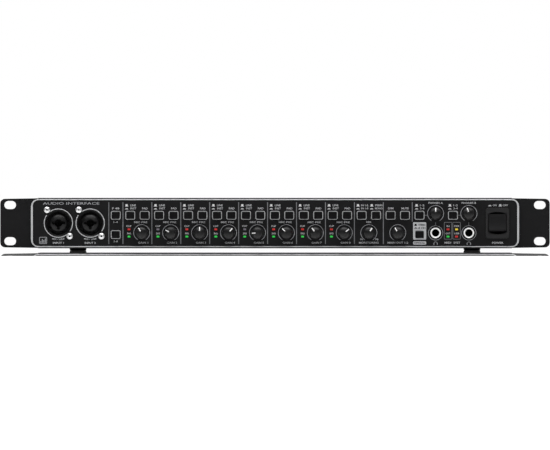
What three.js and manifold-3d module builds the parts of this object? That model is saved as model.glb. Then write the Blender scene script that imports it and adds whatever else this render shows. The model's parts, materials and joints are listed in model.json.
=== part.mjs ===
// A 19 inch, one unit high rack audio interface, in millimetres, +Z up, front facing -Y.
// The origin is at the middle of the footprint, on the surface that the four feet stand on.
// "up" below is a height above the middle of the front, and "in" a depth behind the fascia's face.
import * as THREE from "three";
import { mergeVertices } from "three/addons/utils/BufferGeometryUtils.js";
import Module from "manifold-3d";

const wasm = await Module();
wasm.setup();

// ---------- Driving dimensions ----------
const RACK_WIDTH = 482.6; // over both ears
const CASE_WIDTH = 416.2;
const CASE_HEIGHT = 44.3;
const CASE_DEPTH = 190; // fascia face to rear panel face
const SHEET = 1.0; // steel of the cover, tray and rear panel
const FIT = 0.15; // between sheets and mouldings that slide together
const FOOT_HEIGHT = 1.95;
const FOOT_RADIUS = 6.9;
const FOOT_TOE_RADIUS = 6.3;
const FOOT_X = 173.8;
const FOOT_INSET = 32; // foot centre from the case's front and rear

const EAR_THICK = 2.5;
const EAR_ROOT_HEIGHT = 43.6; // beside the fascia
const EAR_TIP_HEIGHT = 42.7;
const EAR_CORNER = 4.2;
const PAD_THICK = 0.5; // the plate's middle is this much thicker than its ears
const SLOT_PITCH = 465.1;
const SLOT_RISE = 31.75;
const SLOT_LENGTH = 10.3;
const SLOT_HEIGHT = 7.1;

const TRIM_WIDTH = 428.6;
const TRIM_CORNER = 6.3;
const TRIM_SIDE = 1.65; // bright face, left and right
const TRIM_EDGE = 0.85; // bright face, top and bottom
const TRIM_PROUD = 0.4;
const TRIM_BEVEL = 0.5;
const FASCIA_THICK = 3.0;
const LIP_IN = 1.6; // front edge of the cover and tray, behind the fascia's face

// ---------- Controls ----------
const STRIP = 25.4; // width of one channel strip
const FIRST_STRIP_X = -133.5; // its left edge
const STRIPS = 8;
const BUTTON_HALF_PITCH = 6.3;
const BUTTON_UP = 6.85;
const LOW_BUTTON_UP = -10.1;
const BUTTON_WIDTH = 7.0;
const BUTTON_TALL = 5.9;
const BUTTON_CORNER = 0.7;
const BUTTON_GAP = 0.25;
const BUTTON_PROUD = 2.6;
const BUTTON_LENGTH = 7.0;
const BUTTON_TRAVEL = 2.2;
const PLUNGER = 3.2; // side of the square plunger
const PLUNGER_LENGTH = 5.0;

const KNOB_UP = -8.45;
const PHONES_KNOB_UP = 8.4;
const GAIN_KNOB_SHIFT = 3.8; // from the strip's middle
const KNOB_RADIUS = 5.5;
const KNOB_TOP_RADIUS = 4.9;
const KNOB_HEIGHT = 12.2;
const KNOB_LIFT = 0.6; // under the knob's skirt
const POINTER_WIDTH = 0.9;
const POINTER_LENGTH = 3.2;
const SHAFT_RADIUS = 3.0;
const SHAFT_GAP = 0.35;

const LED_SHIFT = -7.4;
const LED_UP = [-5.5, -11.85];
const LED_WIDTH = 2.4;
const LED_TALL = 1.5;
const LED_GAP = 0.12;
const LED_PROUD = 0.2;

const PHANTOM_X = FIRST_STRIP_X - STRIP / 4;
const PHONES_X = [141.0, 170.2];
const PHONES_BUTTON_X = [126.9, 156.2];
const STATUS_LED_X = [151.9, 159.4];

// ---------- Boards behind the fascia ----------
const BOARD_IN = 17; // front face of the control board
const BOARD_THICK = 1.6;
const BOARD_CLEAR = 3.6; // between an upright board and the sheet above or below it
const BOARD_LEFT = -146;
const BOARD_RIGHT = 181;
const SWITCH_BODY = 8.4;
const POT_WIDTH = 9.5;
const POT_TALL = 11;
const BODY_LENGTH = 8; // of the switch and pot bodies

// ---------- Sockets ----------
const INPUT_X = [-190.2, -162.3];
const INPUT_RADIUS = 12.0;
const INPUT_GAP = 0.3;
const INPUT_BODY = 25; // width of the moulding behind the panel
const INPUT_BODY_TALL = 31;
const INPUT_DEPTH = 26;
const GROOVE_OUTER = 9.7; // round slot for an XLR plug's shell
const GROOVE_INNER = 8.4;
const GROOVE_DEPTH = 12;
const PIN_CIRCLE = 5.3;
const PIN_RADIUS = 1.5;
const JACK_BORE = 3.3;
const JACK_DEPTH = 24;
const PHONES_NOSE = 4.55;
const PHONES_PROUD = 1.6;
const PHONES_UP = -8.6;
const PHONES_BODY = 14.4;
const PHONES_DEPTH = 29;

// ---------- Power switch ----------
const SWITCH_CLEAR = 1.25; // between its housing and the tray's flange
const BEZEL_SIDE = 0.9; // overlaps the fascia by this much beside the housing
const BEZEL_END = 2.35; // and by this much above and below it
const BEZEL_CORNER = 2.4;
const BEZEL_THICK = 1.4;
const MOUTH_RISE = 2.2; // the bezel's opening is arched at its top and bottom
const SWITCH_DEPTH = 18;
const SWITCH_WALL = 1.2;
const ROCKER_WIDTH = 15.6;
const ROCKER_RADIUS = 9.6; // its ends turn inside the housing on this radius
const ROCKER_RISE = 2.6; // of its arched ends, more than the opening's so that it clears when it tips
const ROCKER_FACE = 5.6; // pivot to the raised ends of its face
const ROCKER_VALLEY = 4.8; // pivot to the hollow between them
const ROCKER_GAP = 0.4;
const ROCKER_TILT = 7; // degrees each side of level
const PIVOT_IN = 3.2;

// ---------- Rear ----------
const REAR_NOSE = 3.5; // outermost socket nose beyond the rear panel
const REAR_INPUT_X = -188;
const REAR_INPUT_PITCH = 27.5;
const REAR_INPUTS = 6;
const OUTPUT_X = -24;
const OUTPUT_PITCH = 17;
const OUTPUT_COLUMNS = 5;
const OUTPUT_UP = 9.5;
const OUTPUT_NOSE = 5.6;
const MIDI_X = [68, 91];
const MIDI_RADIUS = 7.6;
const RCA_X = 109.5;
const OPTICAL_X = 125.5;
const STACK_UP = 8.5; // rise of the stacked sockets
const USB_X = 144;
const INLET_X = 178;
const BANK_DEPTH = 22; // socket bodies behind the rear panel

// ---------- Worked-out places ----------
const MIDDLE = FOOT_HEIGHT + CASE_HEIGHT / 2;
const KNOB_PROUD = KNOB_LIFT + KNOB_HEIGHT;
const DEPTH = KNOB_PROUD + CASE_DEPTH + REAR_NOSE;
const FACE = -DEPTH / 2 + KNOB_PROUD; // the fascia's face
const REAR = FACE + CASE_DEPTH; // the rear panel's outer face
const PLATE_BACK = FACE + FASCIA_THICK + EAR_THICK;
const INSIDE_HALF = CASE_HEIGHT / 2 - SHEET;
const BOARD_HEIGHT = 2 * (INSIDE_HALF - BOARD_CLEAR);
const HOUSING_WIDTH = ROCKER_WIDTH + 2 * (ROCKER_GAP + SWITCH_WALL);
const HOUSING_TALL = 2 * (ROCKER_RADIUS + ROCKER_GAP + SWITCH_WALL);
const SWITCH_X = CASE_WIDTH / 2 - 2 * SHEET - FIT - SWITCH_CLEAR - HOUSING_WIDTH / 2;
const TRIM_HEIGHT = 2 * (INSIDE_HALF - 0.05);
const FASCIA_WIDTH = TRIM_WIDTH - 2 * TRIM_SIDE - 2 * FIT;
const FASCIA_HEIGHT = TRIM_HEIGHT - 2 * TRIM_EDGE - 2 * FIT;
const FASCIA_CORNER = TRIM_CORNER - TRIM_SIDE - FIT;
const SLOTS = [-1, 1].flatMap((sx) => [-1, 1].map((sz) => [(sx * SLOT_PITCH) / 2, (sz * SLOT_RISE) / 2]));
const stripMiddle = (i) => FIRST_STRIP_X + STRIP * (i + 0.5);

// Every push button: name, x and height.
const BUTTONS = [
  ["phantom_button_1_4", PHANTOM_X, BUTTON_UP],
  ["phantom_button_5_8", PHANTOM_X, LOW_BUTTON_UP],
  ...Array.from({ length: STRIPS }, (_, i) => [
    [`line_inst_button_${i + 1}`, stripMiddle(i) - BUTTON_HALF_PITCH, BUTTON_UP],
    [`pad_button_${i + 1}`, stripMiddle(i) + BUTTON_HALF_PITCH, BUTTON_UP],
  ]).flat(),
  ["monitor_source_button", stripMiddle(8) - BUTTON_HALF_PITCH, BUTTON_UP],
  ["mono_button", stripMiddle(8) + BUTTON_HALF_PITCH, BUTTON_UP],
  ["dim_button", stripMiddle(9) - BUTTON_HALF_PITCH, BUTTON_UP],
  ["mute_button", stripMiddle(9) + BUTTON_HALF_PITCH, BUTTON_UP],
  ["phones_a_source_button", PHONES_BUTTON_X[0], BUTTON_UP],
  ["phones_b_source_button", PHONES_BUTTON_X[1], BUTTON_UP],
  ["optical_mode_button", PHONES_BUTTON_X[0], LOW_BUTTON_UP],
];

// Every knob: name, x, height and the clockwise angle from straight up that it is set to.
const GAIN_SETTINGS = [-35, -63, 0, 40, -96, -44, -36, 54];
const KNOBS = [
  ...GAIN_SETTINGS.map((angle, i) => [`gain_knob_${i + 1}`, stripMiddle(i) + GAIN_KNOB_SHIFT, KNOB_UP, angle]),
  ["monitor_mix_knob", stripMiddle(8), KNOB_UP, 34],
  ["main_out_knob", stripMiddle(9), KNOB_UP, -30],
  ["phones_a_knob", PHONES_X[0], PHONES_KNOB_UP, 0],
  ["phones_b_knob", PHONES_X[1], PHONES_KNOB_UP, -17],
];

// Every indicator light: x and height.
const LEDS = [...Array.from({ length: STRIPS }, (_, i) => stripMiddle(i) + LED_SHIFT), ...STATUS_LED_X].flatMap((x) =>
  LED_UP.map((up) => [x, up]),
);

// ---------- Shape helpers ----------
// Corner points of a rectangle with round corners, anticlockwise.
function roundedRectangle(width, height, radius, x = 0, up = 0, steps = 2) {
  const points = [];
  [[1, 1], [-1, 1], [-1, -1], [1, -1]].forEach(([sx, sy], corner) => {
    for (let i = 0; i <= steps; i++) {
      const a = (corner + i / steps) * (Math.PI / 2);
      points.push(
        new THREE.Vector2(
          x + sx * (width / 2 - radius) + radius * Math.cos(a),
          up + sy * (height / 2 - radius) + radius * Math.sin(a),
        ),
      );
    }
  });
  return points;
}

function rectangle(width, height, x = 0, up = 0) {
  const [w, h] = [width / 2, height / 2];
  return [[w, h], [-w, h], [-w, -h], [w, -h]].map(([a, b]) => new THREE.Vector2(x + a, up + b));
}

// A rectangle whose top and bottom bow outwards. "half" is half its height in the middle.
function arched(width, half, rise, x = 0) {
  const steps = 8;
  const bow = (sign) =>
    Array.from({ length: steps + 1 }, (_, i) => {
      const across = 1 - (2 * i) / steps;
      return new THREE.Vector2(x + (sign * across * width) / 2, sign * (half - rise * across * across));
    });
  return [...bow(1), ...bow(-1)];
}

function circle(radius, x = 0, up = 0, sides = 24) {
  return Array.from({ length: sides }, (_, i) => {
    const a = (i / sides) * 2 * Math.PI;
    return new THREE.Vector2(x + radius * Math.cos(a), up + radius * Math.sin(a));
  });
}

// An outline made solid with holes punched through it. "place" turns and moves the geometry.
function punched(outline, holes, depth, place) {
  const prism = (points, low, high) => {
    const made = new THREE.ExtrudeGeometry(new THREE.Shape(points), { depth: high - low, bevelEnabled: false });
    return solid(place(made.translate(0, 0, low)));
  };
  return cut(prism(outline, 0, depth), ...holes.map((points) => prism(points, -1, depth + 1)));
}

// A slab whose outline is seen from the front, between two depths along Y, on the height of the middle.
function slab(outline, front, back, holes = [], middle = MIDDLE) {
  return punched(outline, holes, back - front, (made) => made.rotateX(Math.PI / 2).translate(0, back, middle));
}

// The same for an outline drawn on the (y, z) plane, its thickness running from x towards +X.
function sideSlab(outline, x, thick, holes = [], middle = MIDDLE) {
  return punched(outline, holes, thick, (made) =>
    made
      .rotateX(Math.PI / 2)
      .rotateZ(Math.PI / 2)
      .translate(x, 0, middle),
  );
}

// A block given by its lowest and highest corner.
function block([x0, y0, z0], [x1, y1, z1]) {
  const made = new THREE.BoxGeometry(x1 - x0, y1 - y0, z1 - z0);
  return solid(made.translate((x0 + x1) / 2, (y0 + y1) / 2, (z0 + z1) / 2));
}

// A solid turned about Y from a profile of [radius, depth] points that starts and ends on the axis.
function turned(profile, x, up, sides = 24, middle = MIDDLE) {
  const points = profile.map(([r, y]) => new THREE.Vector2(r, y));
  return solid(new THREE.LatheGeometry(points, sides).translate(x, 0, middle + up));
}

function rod(radius, front, back, x, up, sides = 24, middle = MIDDLE) {
  return turned([[0, front], [radius, front], [radius, back], [0, back]], x, up, sides, middle);
}

// A closed three.js geometry as a manifold-3d solid.
function solid(geometry) {
  const bare = geometry.clone();
  bare.deleteAttribute("normal");
  bare.deleteAttribute("uv");
  const merged = mergeVertices(bare, 1e-4);
  return new wasm.Manifold(
    new wasm.Mesh({
      numProp: 3,
      vertProperties: merged.attributes.position.array,
      triVerts: new Uint32Array(merged.index.array),
    }),
  );
}

const join = (first, ...rest) => rest.reduce((sum, next) => sum.add(next), first);
const cut = (first, ...rest) => rest.reduce((left, next) => left.subtract(next), first);

function geometryOf(made) {
  const mesh = made.getMesh();
  const count = mesh.numProp;
  const positions = new Float32Array(mesh.numVert * 3);
  for (let i = 0; i < mesh.numVert; i++) {
    positions.set(mesh.vertProperties.subarray(i * count, i * count + 3), i * 3);
  }
  return new THREE.BufferGeometry()
    .setAttribute("position", new THREE.BufferAttribute(positions, 3))
    .setIndex(new THREE.BufferAttribute(mesh.triVerts, 1));
}

const object = new THREE.Group();
function add(name, made, material, place = [0, 0, 0], turn = 0) {
  const geometry = made.isBufferGeometry ? made : geometryOf(made);
  const mesh = new THREE.Mesh(geometry, material);
  mesh.name = name;
  mesh.position.set(...place);
  mesh.rotation.y = turn;
  object.add(mesh);
}

const paint = (color, roughness, metalness = 0) => new THREE.MeshStandardMaterial({ color, roughness, metalness });
const BLACK_PAINT = paint(0x1c1c1d, 0.5);
const CASE_PAINT = paint(0x252527, 0.55);
const SILVER = paint(0xc2c4c6, 0.35, 0.6);
const BLACK_PLASTIC = paint(0x131314, 0.4);
const KNOB_PLASTIC = paint(0x1a1a1b, 0.35);
const RUBBER = paint(0x18181a, 0.85);
const BOARD_GREEN = paint(0x24583a, 0.5);
const CHROME = paint(0xdcdcdc, 0.15, 1);

// ---------- Case ----------
// Plate with the rack ears. It has windows where the jacks, controls and power switch come through.
function rackPanel() {
  const centreHalf = INSIDE_HALF - 0.1;
  const rootX = CASE_WIDTH / 2 + FIT;
  const root = EAR_ROOT_HEIGHT / 2;
  const tip = EAR_TIP_HEIGHT / 2;
  const tipX = RACK_WIDTH / 2;
  const lower = Array.from({ length: 5 }, (_, i) => {
    const a = (i / 4 - 1) * (Math.PI / 2);
    return [tipX - EAR_CORNER + EAR_CORNER * Math.cos(a), EAR_CORNER - tip + EAR_CORNER * Math.sin(a)];
  });
  const right = [[rootX, -centreHalf], [rootX, -root], ...lower];
  const upper = lower.map(([x, z]) => [x, -z]).reverse();
  const rightSide = [...right, ...upper, [rootX, root], [rootX, centreHalf]];
  const leftSide = rightSide.map(([x, z]) => [-x, -z]);
  const outline = [...rightSide, ...leftSide].map(([x, z]) => new THREE.Vector2(x, z));
  const front = FACE + FASCIA_THICK;
  const holes = [
    ...SLOTS.map(([x, up]) => roundedRectangle(SLOT_LENGTH, SLOT_HEIGHT, SLOT_HEIGHT / 2 - 0.05, x, up, 4)),
    ...INPUT_X.map((x) => circle(INPUT_RADIUS + INPUT_GAP, x, 0, 32)),
    rectangle(BOARD_RIGHT - BOARD_LEFT, BOARD_HEIGHT, (BOARD_LEFT + BOARD_RIGHT) / 2),
    rectangle(HOUSING_WIDTH + 2 * FIT, HOUSING_TALL + 2 * FIT, SWITCH_X),
  ];
  const plate = slab(outline, front, front + EAR_THICK, holes);
  const padHoles = holes.slice(SLOTS.length);
  const padWidth = 2 * (CASE_WIDTH / 2 - SHEET - 2 * FIT);
  return plate.add(
    slab(rectangle(padWidth, 2 * centreHalf), front + EAR_THICK - 0.5, front + EAR_THICK + PAD_THICK, padHoles),
  );
}

function fascia() {
  const holes = [
    ...BUTTONS.map(([, x, up]) =>
      roundedRectangle(BUTTON_WIDTH + 2 * BUTTON_GAP, BUTTON_TALL + 2 * BUTTON_GAP, BUTTON_CORNER, x, up, 1),
    ),
    ...KNOBS.map(([, x, up]) => circle(SHAFT_RADIUS + SHAFT_GAP, x, up, 16)),
    ...LEDS.map(([x, up]) => rectangle(LED_WIDTH + 2 * LED_GAP, LED_TALL + 2 * LED_GAP, x, up)),
    ...INPUT_X.map((x) => circle(INPUT_RADIUS + INPUT_GAP, x, 0, 32)),
    ...PHONES_X.map((x) => circle(PHONES_NOSE + FIT, x, PHONES_UP)),
    rectangle(HOUSING_WIDTH + 2 * FIT, HOUSING_TALL + 2 * FIT, SWITCH_X),
  ];
  return slab(
    roundedRectangle(FASCIA_WIDTH, FASCIA_HEIGHT, FASCIA_CORNER, 0, 0, 4),
    FACE,
    FACE + FASCIA_THICK,
    holes,
  );
}

// Bright frame round the fascia, with a bevel on its outer edge.
function trimFrame() {
  const front = FACE - TRIM_PROUD;
  const ring = (bevel) => roundedRectangle(TRIM_WIDTH - 2 * bevel, TRIM_HEIGHT - 2 * bevel, TRIM_CORNER - bevel, 0, 0, 4);
  const window = roundedRectangle(
    FASCIA_WIDTH + 2 * FIT,
    FASCIA_HEIGHT + 2 * FIT,
    FASCIA_CORNER + FIT,
    0,
    0,
    4,
  );
  const body = slab(ring(0), front + TRIM_BEVEL, FACE + FASCIA_THICK, [window]);
  const nose = slab(ring(TRIM_BEVEL), front, front + TRIM_BEVEL + 0.5, [window]);
  return join(body, nose);
}

// Long round-ended air slots, as seen along the axis that they are cut through.
function airSlots(count, pitch, length, width, x, y) {
  return Array.from({ length: count }, (_, i) =>
    roundedRectangle(width, length, width / 2 - 0.05, x + (i - (count - 1) / 2) * pitch, y, 2),
  );
}

function topCover() {
  const half = CASE_WIDTH / 2;
  const vents = [-138, 138].flatMap((x) => airSlots(16, 6, 26, 2.4, x, REAR - 60));
  const long = REAR - FACE - LIP_IN;
  const roof = punched(rectangle(CASE_WIDTH, long, 0, REAR - long / 2), vents, SHEET, (made) =>
    made.translate(0, 0, MIDDLE + CASE_HEIGHT / 2 - SHEET),
  );
  const wallLong = REAR - PLATE_BACK - FIT;
  const wallVents = airSlots(14, 6, 14, 2.4, REAR - 62, 0);
  const wall = (x) => sideSlab(rectangle(wallLong, CASE_HEIGHT, REAR - wallLong / 2), x, SHEET, wallVents);
  return join(roof, wall(-half), wall(half - SHEET));
}

// Bottom tray: the floor, with a lip under the fascia, and a low flange inside each side of the cover.
function chassis() {
  const inner = CASE_WIDTH / 2 - SHEET - FIT;
  const floor = FOOT_HEIGHT;
  const lip = block([-CASE_WIDTH / 2, FACE + LIP_IN, floor], [CASE_WIDTH / 2, PLATE_BACK, floor + SHEET]);
  const base = block([-inner, FACE + LIP_IN, floor], [inner, REAR, floor + SHEET]);
  const flangeTall = 14;
  const start = FACE + SWITCH_DEPTH + 2; // behind the power switch
  const flange = (x) => block([x, start, floor], [x + SHEET, REAR - SHEET - FIT, floor + flangeTall]);
  return join(lip, base, flange(-inner), flange(inner - SHEET));
}

function rearPanel() {
  const inner = CASE_WIDTH / 2 - SHEET - FIT;
  const holes = [
    ...rearInputs().map((x) => circle(INPUT_RADIUS + INPUT_GAP, x)),
    ...outputs().map(([x, up]) => circle(OUTPUT_NOSE + FIT, x, up, 12)),
    ...MIDI_X.map((x) => circle(MIDI_RADIUS + FIT, x, 0, 20)),
    ...[-1, 1].map((s) => circle(4.4, RCA_X, s * STACK_UP, 12)),
    ...[-1, 1].map((s) => rectangle(9.9, 9.9, OPTICAL_X, s * STACK_UP)),
    rectangle(12.2, 11.2, USB_X),
    rectangle(27.4, 20.4, INLET_X),
  ];
  return slab(rectangle(2 * inner, 2 * (INSIDE_HALF - 0.05)), REAR - SHEET, REAR, holes);
}

function foot() {
  const made = new THREE.CylinderGeometry(FOOT_RADIUS, FOOT_TOE_RADIUS, FOOT_HEIGHT, 24);
  return solid(made.rotateX(Math.PI / 2).translate(0, 0, FOOT_HEIGHT / 2));
}

// ---------- Sockets ----------
// Spans of depths behind a panel's outer face. "out" is -1 for a socket that faces the front, 1 for the rear.
function behind(panel, out) {
  return (a, b) => [panel - out * a, panel - out * b].sort((low, high) => low - high);
}

// A round front on a square body, with a quarter inch bore.
function socketBlank(x, panel, out, proud, sides) {
  const span = behind(panel, out);
  const shell = rod(INPUT_RADIUS, ...span(-proud, 8), x, 0, sides);
  const body = slab(roundedRectangle(INPUT_BODY, INPUT_BODY_TALL, 3, x, 0, 1), ...span(6.2, INPUT_DEPTH));
  return cut(join(shell, body), rod(JACK_BORE, ...span(-proud - 1, JACK_DEPTH), x, 0, 16));
}

// The same with the groove and contact holes for an XLR plug.
function comboSocket(x, panel, out, proud, sides) {
  const span = behind(panel, out);
  const groove = cut(
    rod(GROOVE_OUTER, ...span(-proud - 1, GROOVE_DEPTH), x, 0, sides),
    rod(GROOVE_INNER, ...span(-proud - 2, GROOVE_DEPTH + 1), x, 0, sides),
  );
  const pins = [[-1, 0.1], [1, 0.1], [0, -1]].map(([sx, sz]) =>
    rod(PIN_RADIUS, ...span(-proud - 1, GROOVE_DEPTH), x + sx * PIN_CIRCLE, sz * PIN_CIRCLE, 8),
  );
  return cut(socketBlank(x, panel, out, proud, sides), groove, ...pins);
}

function phonesJack(x) {
  const nose = rod(PHONES_NOSE, FACE - PHONES_PROUD, FACE + 8, x, PHONES_UP);
  const body = slab(
    rectangle(PHONES_BODY, PHONES_BODY, x, PHONES_UP),
    FACE + FASCIA_THICK + FIT,
    FACE + PHONES_DEPTH,
  );
  const bore = rod(JACK_BORE, FACE - PHONES_PROUD - 1, FACE + JACK_DEPTH, x, PHONES_UP, 16);
  return cut(join(nose, body), bore);
}

const rearInputs = () => Array.from({ length: REAR_INPUTS }, (_, i) => REAR_INPUT_X + i * REAR_INPUT_PITCH);
const outputs = () =>
  Array.from({ length: OUTPUT_COLUMNS }, (_, i) => OUTPUT_X + i * OUTPUT_PITCH).flatMap((x) =>
    [-OUTPUT_UP, OUTPUT_UP].map((up) => [x, up]),
  );

// A bank's circuit board stands parallel to the rear panel, behind its sockets.
function bankBoard(left, right, depth) {
  return slab(rectangle(right - left, BOARD_HEIGHT, (left + right) / 2), REAR - depth - BOARD_THICK, REAR - depth);
}

function rearInputBank() {
  const last = rearInputs().at(-1);
  const reach = INPUT_BODY / 2 + 0.6;
  const board = bankBoard(REAR_INPUT_X - reach, last + reach, INPUT_DEPTH - 0.4);
  return join(board, ...rearInputs().map((x) => socketBlank(x, REAR, 1, 0.8, 24)));
}

function rearOutputBank() {
  const bodyWide = 14.6;
  const bodyTall = 16;
  const sockets = outputs().map(([x, up]) =>
    join(
      slab(rectangle(bodyWide, bodyTall, x, up), REAR - BANK_DEPTH, REAR - SHEET - FIT),
      rod(OUTPUT_NOSE, REAR - SHEET - 1, REAR + REAR_NOSE, x, up, 12),
    ),
  );
  const bores = outputs().map(([x, up]) => rod(JACK_BORE, REAR - BANK_DEPTH + 2, REAR + REAR_NOSE + 1, x, up, 12));
  const reach = bodyWide / 2 + 0.6;
  const board = bankBoard(OUTPUT_X - reach, OUTPUT_X + (OUTPUT_COLUMNS - 1) * OUTPUT_PITCH + reach, BANK_DEPTH - 0.4);
  return cut(join(board, ...sockets), ...bores);
}

function digitalPorts() {
  const seat = REAR - SHEET - FIT;
  const midi = MIDI_X.map((x) => {
    const shell = join(
      slab(rectangle(20, 20, x), REAR - BANK_DEPTH, seat),
      rod(MIDI_RADIUS, seat - 1, REAR + 0.6, x, 0, 20),
    );
    const groove = cut(rod(6.9, REAR - 8, REAR + 2, x, 0, 20), rod(5.6, REAR - 9, REAR + 3, x, 0, 20));
    return cut(shell, groove);
  });
  const rca = [-1, 1].map((s) => {
    const up = s * STACK_UP;
    const shell = join(
      slab(rectangle(12, 15, RCA_X, up), REAR - BANK_DEPTH, seat),
      rod(4.15, seat - 1, REAR + REAR_NOSE, RCA_X, up, 16),
    );
    return cut(shell, rod(1.7, REAR - 8, REAR + REAR_NOSE + 1, RCA_X, up, 8));
  });
  const optical = [-1, 1].map((s) => {
    const up = s * STACK_UP;
    return join(
      slab(rectangle(11.6, 13.4, OPTICAL_X, up), REAR - BANK_DEPTH, seat),
      slab(rectangle(9.6, 9.6, OPTICAL_X, up), seat - 1, REAR + 0.4),
    );
  });
  const usb = cut(
    slab(rectangle(12, 11, USB_X), REAR - BANK_DEPTH, REAR + 0.4),
    cut(slab(rectangle(8.5, 7.8, USB_X), REAR - 9, REAR + 1), slab(rectangle(5.6, 3.2, USB_X), REAR - 10, REAR + 2)),
  );
  const board = bankBoard(MIDI_X[0] - 10.6, USB_X + 6.6, BANK_DEPTH - 0.4);
  return join(board, ...midi, ...rca, ...optical, usb);
}

// Mains inlet: a flanged shroud with three blades in it, screwed to the rear panel from outside.
function mainsInlet() {
  const flange = slab(roundedRectangle(48, 22.6, 5, INLET_X, 0, 2), REAR, REAR + 2);
  const shroud = slab(rectangle(27, 20, INLET_X), REAR - BANK_DEPTH, REAR + 1);
  const mouth = [[12.2, -8.2], [12.2, 4.6], [8.6, 8.2], [-8.6, 8.2], [-12.2, 4.6], [-12.2, -8.2]].map(
    ([x, z]) => new THREE.Vector2(INLET_X + x, z),
  );
  const recess = slab(mouth, REAR - 15, REAR + 3);
  const blades = [[-7, -1], [7, -1], [0, 3]].map(([x, up]) => slab(rectangle(2, 4, INLET_X + x, up), REAR - 16, REAR - 4));
  return join(cut(join(flange, shroud), recess), ...blades);
}

// ---------- Power switch ----------
function powerSwitch() {
  const bezel = slab(
    roundedRectangle(HOUSING_WIDTH + 2 * BEZEL_SIDE, HOUSING_TALL + 2 * BEZEL_END, BEZEL_CORNER, SWITCH_X, 0, 3),
    FACE - BEZEL_THICK,
    FACE,
  );
  const body = slab(rectangle(HOUSING_WIDTH, HOUSING_TALL, SWITCH_X), FACE - 0.2, FACE + SWITCH_DEPTH);
  const wellWidth = ROCKER_WIDTH + 2 * ROCKER_GAP;
  const wellHalf = ROCKER_RADIUS + ROCKER_GAP;
  const well = slab(rectangle(wellWidth, 2 * wellHalf, SWITCH_X), FACE, FACE + SWITCH_DEPTH - SWITCH_WALL);
  const mouth = slab(arched(wellWidth, wellHalf, MOUTH_RISE, SWITCH_X), FACE - BEZEL_THICK - 1, FACE + 0.5);
  return cut(join(bezel, body), well, mouth);
}

// Rocker, built about its own pivot: two arched ends on one cylinder, and a hollow face.
function rocker() {
  const end = Math.asin(ROCKER_FACE / ROCKER_RADIUS); // where the face meets the end curve
  const back = 0.9; // radians behind level where the end curve stops
  const steps = 6;
  const side = (sign) =>
    Array.from({ length: steps + 1 }, (_, i) => {
      const a = -back + ((end + back) * i) / steps;
      return [-ROCKER_RADIUS * Math.sin(a), sign * ROCKER_RADIUS * Math.cos(a)];
    });
  const hollow = [-0.6, -0.3, 0, 0.3, 0.6].map((part) => {
    const z = part * ROCKER_RADIUS * Math.cos(end);
    return [-ROCKER_VALLEY - (ROCKER_FACE - ROCKER_VALLEY) * part * part, z];
  });
  const profile = [...side(-1), ...hollow, ...side(1).reverse()];
  const outline = profile.map(([y, z]) => new THREE.Vector2(y, z));
  const body = sideSlab(outline, -ROCKER_WIDTH / 2, ROCKER_WIDTH, [], 0);
  const limit = slab(arched(ROCKER_WIDTH, ROCKER_RADIUS, ROCKER_RISE), -2 * ROCKER_RADIUS, 2 * ROCKER_RADIUS, [], 0);
  return body.intersect(limit);
}

// ---------- Controls ----------
// Cap and plunger, built with its origin where its axis crosses the fascia's face.
function button() {
  const cap = slab(
    roundedRectangle(BUTTON_WIDTH, BUTTON_TALL, BUTTON_CORNER, 0, 0, 2),
    -BUTTON_PROUD,
    BUTTON_LENGTH - BUTTON_PROUD,
    [],
    0,
  );
  const plunger = slab(
    rectangle(PLUNGER, PLUNGER),
    BUTTON_LENGTH - BUTTON_PROUD - 0.5,
    BUTTON_LENGTH - BUTTON_PROUD + PLUNGER_LENGTH,
    [],
    0,
  );
  return join(cap, plunger);
}

// Knob with its shaft and pointer, set straight up, built with its origin where its axis crosses the face.
function knob() {
  const front = -KNOB_PROUD;
  const shaftEnd = BOARD_IN - BODY_LENGTH + 4;
  const body = turned(
    [
      [0, front],
      [KNOB_TOP_RADIUS - 0.8, front + 0.25],
      [KNOB_TOP_RADIUS, front + 1.0],
      [KNOB_RADIUS, -KNOB_LIFT],
      [SHAFT_RADIUS, -KNOB_LIFT],
      [SHAFT_RADIUS, shaftEnd],
      [0, shaftEnd],
    ],
    0,
    0,
    20,
    0,
  );
  const reach = KNOB_TOP_RADIUS - 0.6;
  const pointer = block(
    [-POINTER_WIDTH / 2, front, reach - POINTER_LENGTH],
    [POINTER_WIDTH / 2, front + 1.2, reach],
  );
  return join(body, pointer);
}

// Control board: it carries the switch and potentiometer bodies, and the lights on their light pipes.
function controlBoard() {
  const front = FACE + BOARD_IN;
  const bodyFront = front - BODY_LENGTH;
  const notches = PHONES_X.map((x) => rectangle(PHONES_BODY + 1, PHONES_BODY + 1, x, PHONES_UP));
  const board = slab(
    rectangle(BOARD_RIGHT - BOARD_LEFT - 1, BOARD_HEIGHT - 1, (BOARD_LEFT + BOARD_RIGHT) / 2),
    front,
    front + BOARD_THICK,
    notches,
  );
  const sink = 0.3; // each body is let into the board by this much
  const switches = BUTTONS.map(([, x, up]) =>
    slab(rectangle(SWITCH_BODY, SWITCH_BODY, x, up), bodyFront, front + sink, [
      rectangle(PLUNGER + 2 * BUTTON_GAP, PLUNGER + 2 * BUTTON_GAP, x, up),
    ]),
  );
  const pots = KNOBS.map(([, x, up]) =>
    slab(rectangle(POT_WIDTH, POT_TALL, x, up), bodyFront, front + sink, [circle(SHAFT_RADIUS + SHAFT_GAP, x, up, 16)]),
  );
  const lights = LEDS.map(([x, up]) => slab(rectangle(LED_WIDTH, LED_TALL, x, up), FACE - LED_PROUD, front + sink));
  return join(board, ...switches, ...pots, ...lights);
}

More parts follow.
